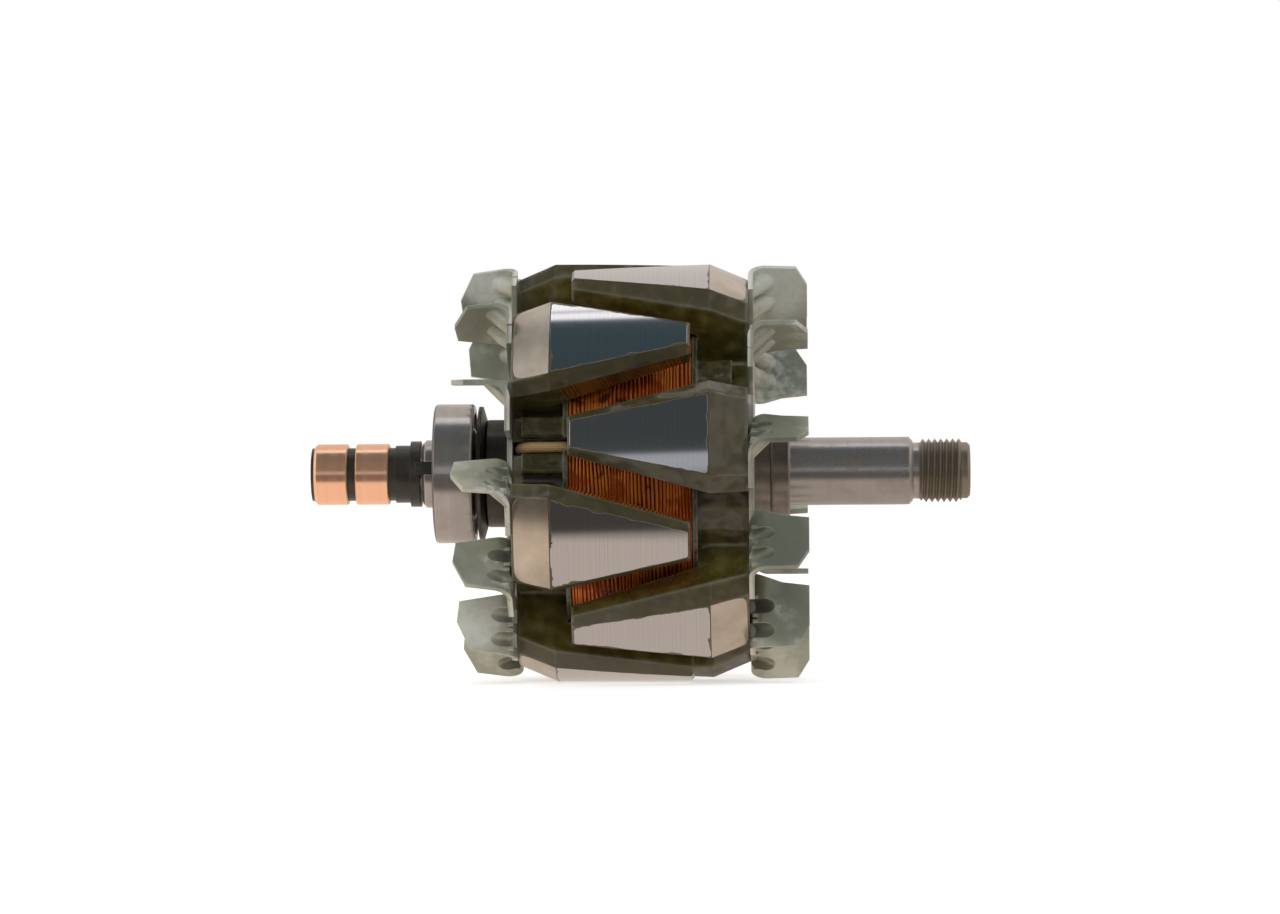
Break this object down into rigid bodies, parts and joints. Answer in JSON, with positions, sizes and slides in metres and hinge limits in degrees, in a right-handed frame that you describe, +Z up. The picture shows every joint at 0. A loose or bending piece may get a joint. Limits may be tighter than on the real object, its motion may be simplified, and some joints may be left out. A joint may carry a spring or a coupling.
{
  "type": "alternator rotor",
  "caption": "Claw-pole rotor with a field winding between its poles, a folded-blade fan at each end, a sealed rear ball bearing and copper slip rings on a threaded shaft.",
  "frame": {"origin": "on the shaft's axis at the shoulder that the drive-end bearing seats against", "axes": "+X along the shaft towards the threaded drive end, +Z up as the rotor lies, -Y towards the viewer of the picture"},
  "size_m": [0.1652, 0.1048, 0.1048],
  "materials": {
    "shaft_steel": "ground and turned steel",
    "collar_steel": "brownish turned steel",
    "pole_steel": "forged steel under dark varnish, outer faces machined bare",
    "core_steel": "plain turned steel",
    "fan_zinc": "zinc-plated pressed sheet",
    "winding_copper": "enamelled copper wire under red-brown varnish",
    "bobbin_plastic": "dark moulded plastic under varnish",
    "sleeve_fabric": "tan braided sleeving",
    "lead_copper": "bare copper",
    "slip_ring_copper": "polished copper",
    "carrier_plastic": "black moulded plastic",
    "bearing_steel": "ground bearing steel",
    "ball_steel": "polished balls",
    "cage_plastic": "moulded cage",
    "seal_rubber": "moulded rubber seal"
  },
  "bodies": {
    "rotor": {"shaft": "shaft_steel", "drive_collar": "collar_steel", "drive_spacer_ring": "collar_steel", "drive_claw_pole": "pole_steel", "rear_claw_pole": "pole_steel", "pole_core": "core_steel", "coil_bobbin": "bobbin_plastic", "field_coil": "winding_copper", "front_lead_sleeve": "sleeve_fabric", "back_lead_sleeve": "sleeve_fabric", "front_lead_wire": "lead_copper", "back_lead_wire": "lead_copper", "front_conductor_bar": "lead_copper", "back_conductor_bar": "lead_copper", "drive_fan": "fan_zinc", "rear_fan": "fan_zinc", "rear_spacer_collar": "collar_steel", "slinger_disc": "collar_steel", "bearing_inner_ring": "bearing_steel", "slip_ring_carrier": "carrier_plastic", "slip_ring_inboard": "slip_ring_copper", "slip_ring_outboard": "slip_ring_copper"},
    "bearing_outer": {"bearing_outer_ring": "bearing_steel", "inboard_bearing_seal": "seal_rubber", "outboard_bearing_seal": "seal_rubber"},
    "bearing_ball_set": {"bearing_balls": "ball_steel", "bearing_cage": "cage_plastic"}
  },
  "joints": [
    {"name": "bearing_outer_spin", "type": "hinge", "parent": "rotor", "child": "bearing_outer", "pos_m": [-0.084, 0, 0], "axis": [1, 0, 0], "continuous": true},
    {"name": "bearing_ball_orbit", "type": "hinge", "parent": "rotor", "child": "bearing_ball_set", "pos_m": [-0.084, 0, 0], "axis": [1, 0, 0], "continuous": true}
  ],
  "couplings": [
    {"joint": "bearing_ball_orbit", "follows": "bearing_outer_spin", "ratio": 0.5916}
  ]
}
